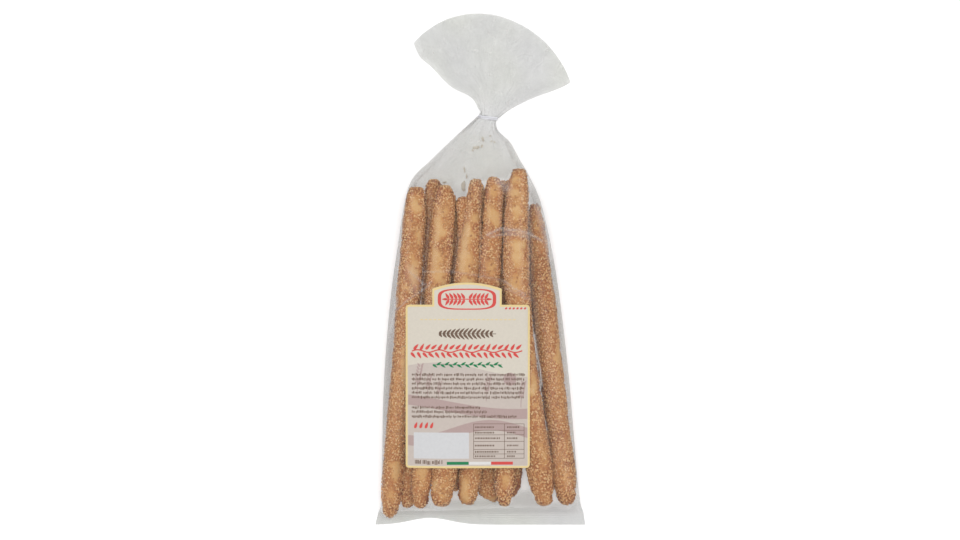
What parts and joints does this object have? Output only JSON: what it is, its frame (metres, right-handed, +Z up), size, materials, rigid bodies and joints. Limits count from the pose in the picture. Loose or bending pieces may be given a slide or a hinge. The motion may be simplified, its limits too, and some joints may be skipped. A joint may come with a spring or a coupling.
{
  "type": "bag of sesame breadsticks",
  "caption": "Clear film bag of sesame breadsticks lying on its back, with a crimped bottom seal, a paper label with an arched crest, a tied gathered neck and an open fan of film at the top.",
  "frame": {"origin": "on the plane that the bag rests on, under the middle of the whole pack's box", "axes": "+Y along the bag from its crimped bottom seal to the open fan at its top, +Z up out of the labelled front, +X across the bag"},
  "size_m": [0.1352, 0.3288, 0.0353],
  "materials": {
    "film": "clear, thin, softly crumpled polypropylene film with a faint grey haze",
    "label_paper": "coated sticker paper, cream with a straw-yellow edge and flat printed fields",
    "tie_cord": "smooth off-white plastic cord",
    "bread": "baked crust, golden where bare and browner at the ends and undersides",
    "seed": "toasted sesame seed, dull ivory to light brown",
    "print": "flat printing ink in red, green, brown, grey and black"
  },
  "bodies": {
    "root": {"bag": "film", "label": "label_paper", "tie": "tie_cord"}
  },
  "joints": []
}
